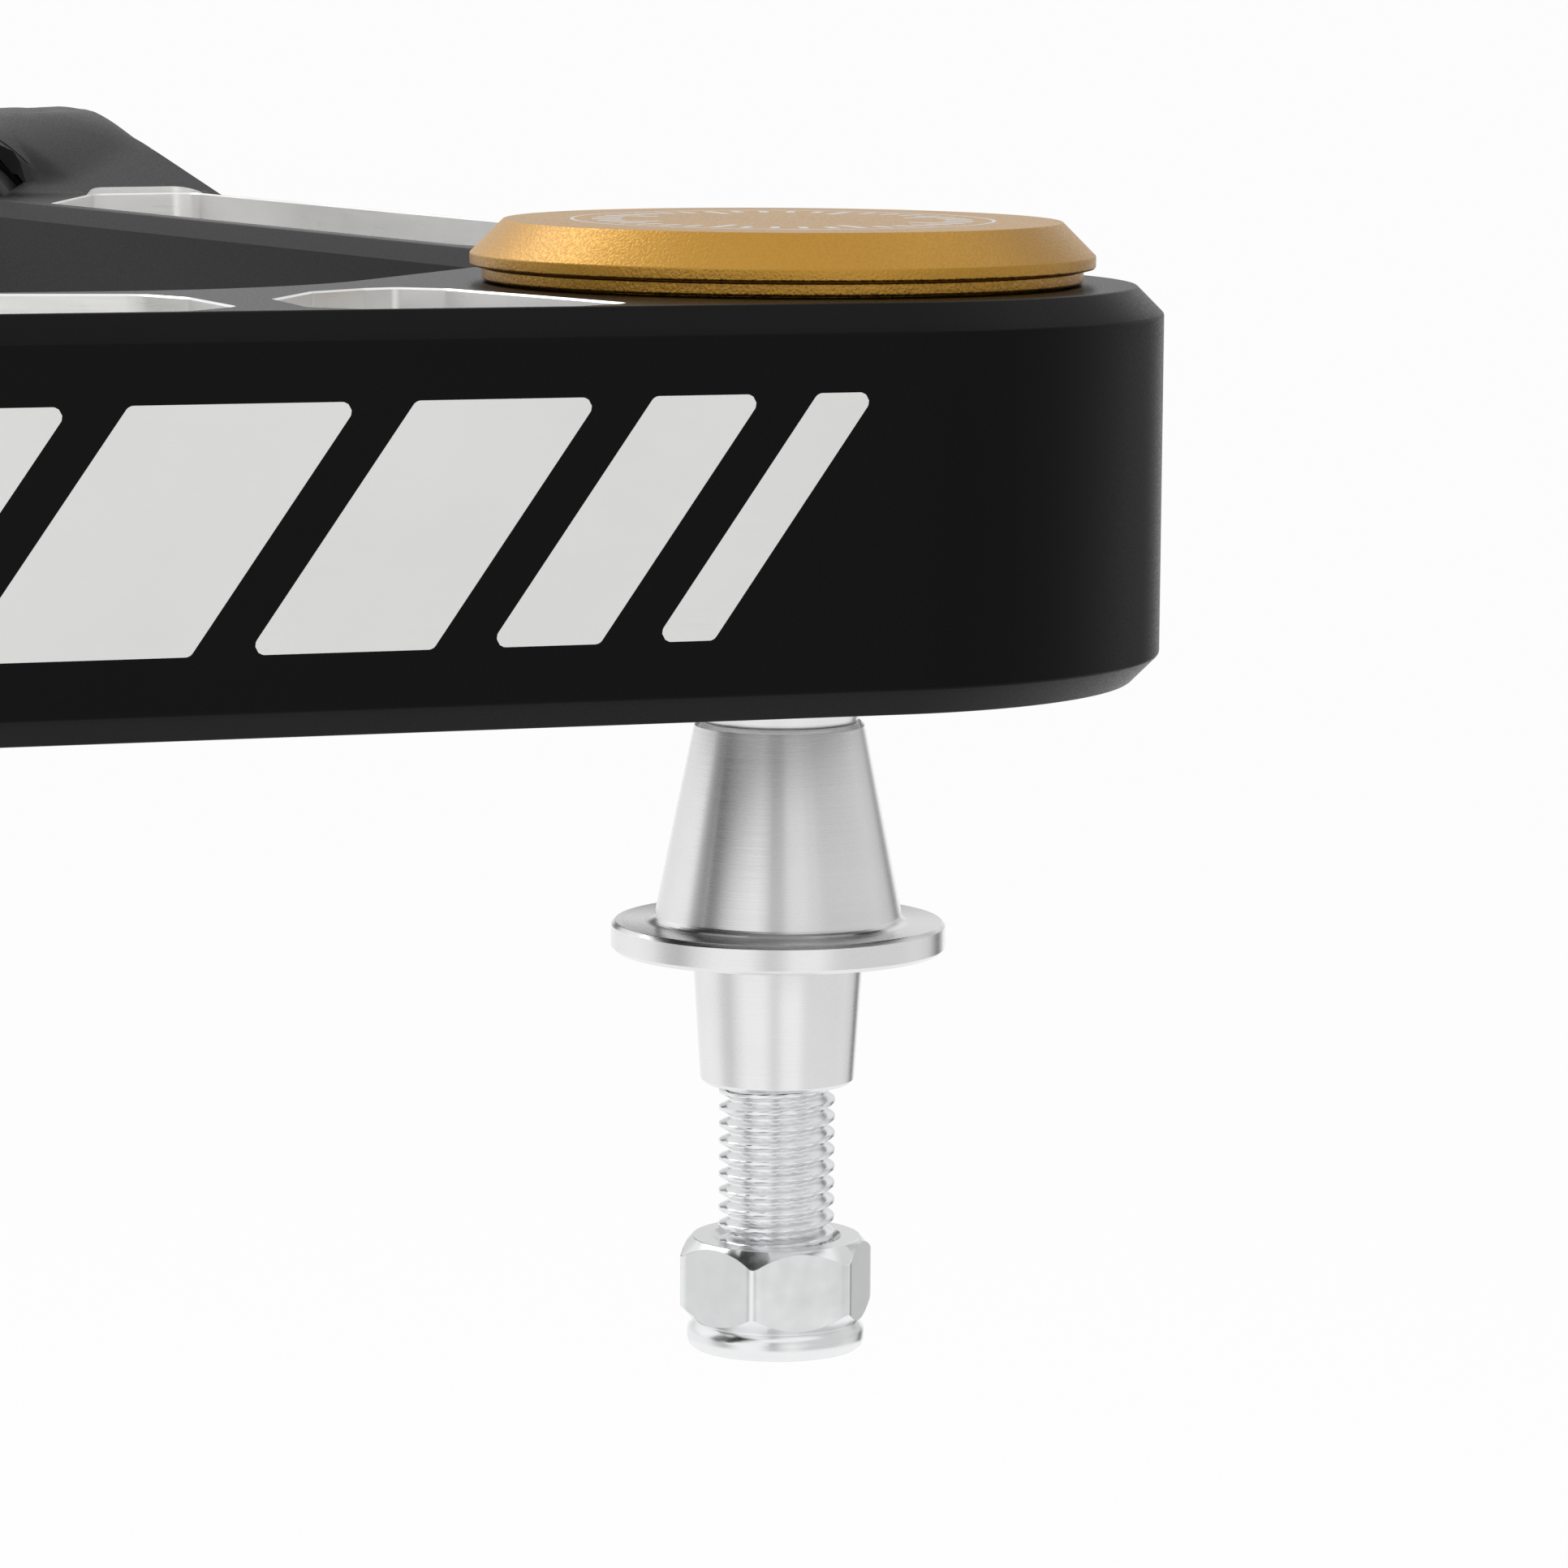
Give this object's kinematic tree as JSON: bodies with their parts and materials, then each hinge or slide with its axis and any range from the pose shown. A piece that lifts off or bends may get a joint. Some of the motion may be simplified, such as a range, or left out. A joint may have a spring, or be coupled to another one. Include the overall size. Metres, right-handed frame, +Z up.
{
  "type": "upper control arm",
  "caption": "Machined V-shaped suspension arm: two bushed pivots, a capped spherical bearing and a tilting taper pin with a lock nut.",
  "frame": {"origin": "centre of the pivot axis, midway between the two pivot barrels", "axes": "+X along the pivot axis towards the front pivot, +Y outboard towards the spherical bearing, +Z up towards the dust cap"},
  "size_m": [0.4204, 0.2578, 0.1206],
  "materials": {
    "black_anodised": "satin black anodised, with bare machined pockets",
    "gold_anodised": "bead-blasted gold anodised",
    "machined_steel": "turned stainless steel",
    "bright_zinc": "bright zinc plate",
    "bearing_steel": "polished bearing steel",
    "liner_fabric": "woven low-friction liner",
    "bushing_plastic": "matt black acetal",
    "nylon": "natural nylon",
    "seal_rubber": "matt black rubber"
  },
  "bodies": {
    "pivot": {"sleeve_front": "machined_steel", "sleeve_rear": "machined_steel", "washer_front_outer": "bright_zinc", "washer_front_inner": "bright_zinc", "washer_rear_inner": "bright_zinc", "washer_rear_outer": "bright_zinc"},
    "arm": {"arm": "black_anodised", "bushing_front_outer": "bushing_plastic", "bushing_front_inner": "bushing_plastic", "bushing_rear_inner": "bushing_plastic", "bushing_rear_outer": "bushing_plastic", "grease_nipple_front": "bright_zinc", "grease_nipple_rear": "bright_zinc", "retaining_ring": "machined_steel"},
    "race": {"bearing_race": "bearing_steel", "race_liner": "liner_fabric"},
    "ball": {"uniball": "bearing_steel"},
    "pin": {"upper_spacer": "machined_steel", "lower_spacer": "machined_steel", "taper_pin": "machined_steel", "pin_bolt": "bright_zinc", "lock_nut": "bright_zinc", "nylon_insert": "nylon"},
    "cap": {"dust_cap": "gold_anodised", "cap_seal": "seal_rubber"}
  },
  "joints": [
    {"name": "arm_swing", "type": "hinge", "parent": "pivot", "child": "arm", "pos_m": [0, 0, 0], "axis": [1, 0, 0], "range_deg": [-25, 25]},
    {"name": "swivel_direction", "type": "hinge", "parent": "arm", "child": "race", "pos_m": [0, 0.185, -0.005], "axis": [0, 0, 1], "continuous": true},
    {"name": "swivel_tilt", "type": "hinge", "parent": "race", "child": "ball", "pos_m": [0, 0.185, -0.005], "axis": [1, 0, 0], "range_deg": [-22, 22]},
    {"name": "pin_turn", "type": "hinge", "parent": "ball", "child": "pin", "pos_m": [0, 0.185, -0.005], "axis": [0, 0, 1], "continuous": true},
    {"name": "cap_lift", "type": "slide", "parent": "arm", "child": "cap", "axis": [0, 0, 1], "range_m": [0, 0.03]}
  ]
}
